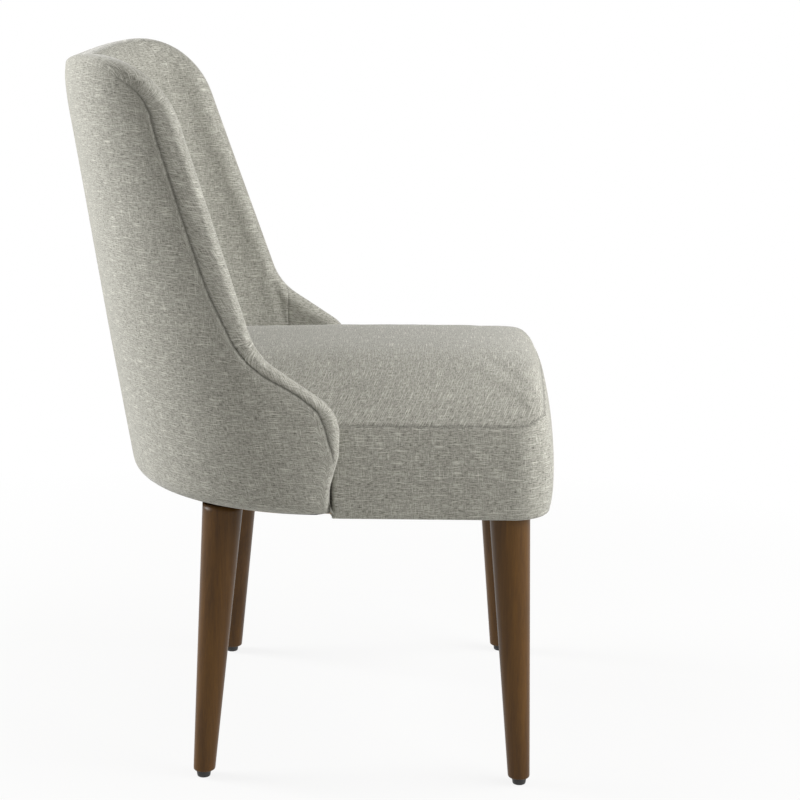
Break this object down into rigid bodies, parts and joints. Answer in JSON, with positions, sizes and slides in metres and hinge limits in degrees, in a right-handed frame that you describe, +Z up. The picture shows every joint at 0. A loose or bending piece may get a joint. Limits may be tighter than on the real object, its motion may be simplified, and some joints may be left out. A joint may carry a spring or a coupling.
{
  "type": "side chair",
  "caption": "Upholstered side chair with a padded back that wraps round the sitter into low wings, a boxed crowned seat and splayed tapered wooden legs on glides.",
  "frame": {"origin": "on the floor, under the middle of the chair's bounding box", "axes": "+Z up, the sitter faces -Y, the sitter's left is +X"},
  "size_m": [0.536, 0.6056, 0.865],
  "materials": {
    "upholstery": "matt slub weave",
    "padding": "soft foam and wadding",
    "dust_cloth": "matt non-woven",
    "plywood": "sanded",
    "frame_wood": "planed",
    "leg_wood": "satin walnut stain",
    "glide_plastic": "matt",
    "steel": "zinc plated"
  },
  "bodies": {
    "root": {"back_inner_cover": "upholstery", "back_outer_cover": "upholstery", "left_wing_cover": "upholstery", "right_wing_cover": "upholstery", "seat_band_cover": "upholstery", "seat_top_cover": "upholstery", "back_inner_foam": "padding", "back_outer_wadding": "padding", "seat_foam": "padding", "seat_wadding": "padding", "dust_cover": "dust_cloth", "back_shell": "plywood", "seat_deck": "plywood", "frame_dowels": "frame_wood", "front_left_block": "frame_wood", "front_rail": "frame_wood", "front_right_block": "frame_wood", "left_rail": "frame_wood", "rear_left_block": "frame_wood", "rear_rail": "frame_wood", "rear_right_block": "frame_wood", "right_rail": "frame_wood", "front_left_leg": "leg_wood", "front_right_leg": "leg_wood", "rear_left_leg": "leg_wood", "rear_right_leg": "leg_wood", "front_left_glide": "glide_plastic", "front_right_glide": "glide_plastic", "rear_left_glide": "glide_plastic", "rear_right_glide": "glide_plastic", "back_bolts": "steel", "back_nuts": "steel", "deck_screws": "steel", "glide_nails": "steel", "leg_bolts": "steel", "leg_nuts": "steel"}
  },
  "joints": []
}
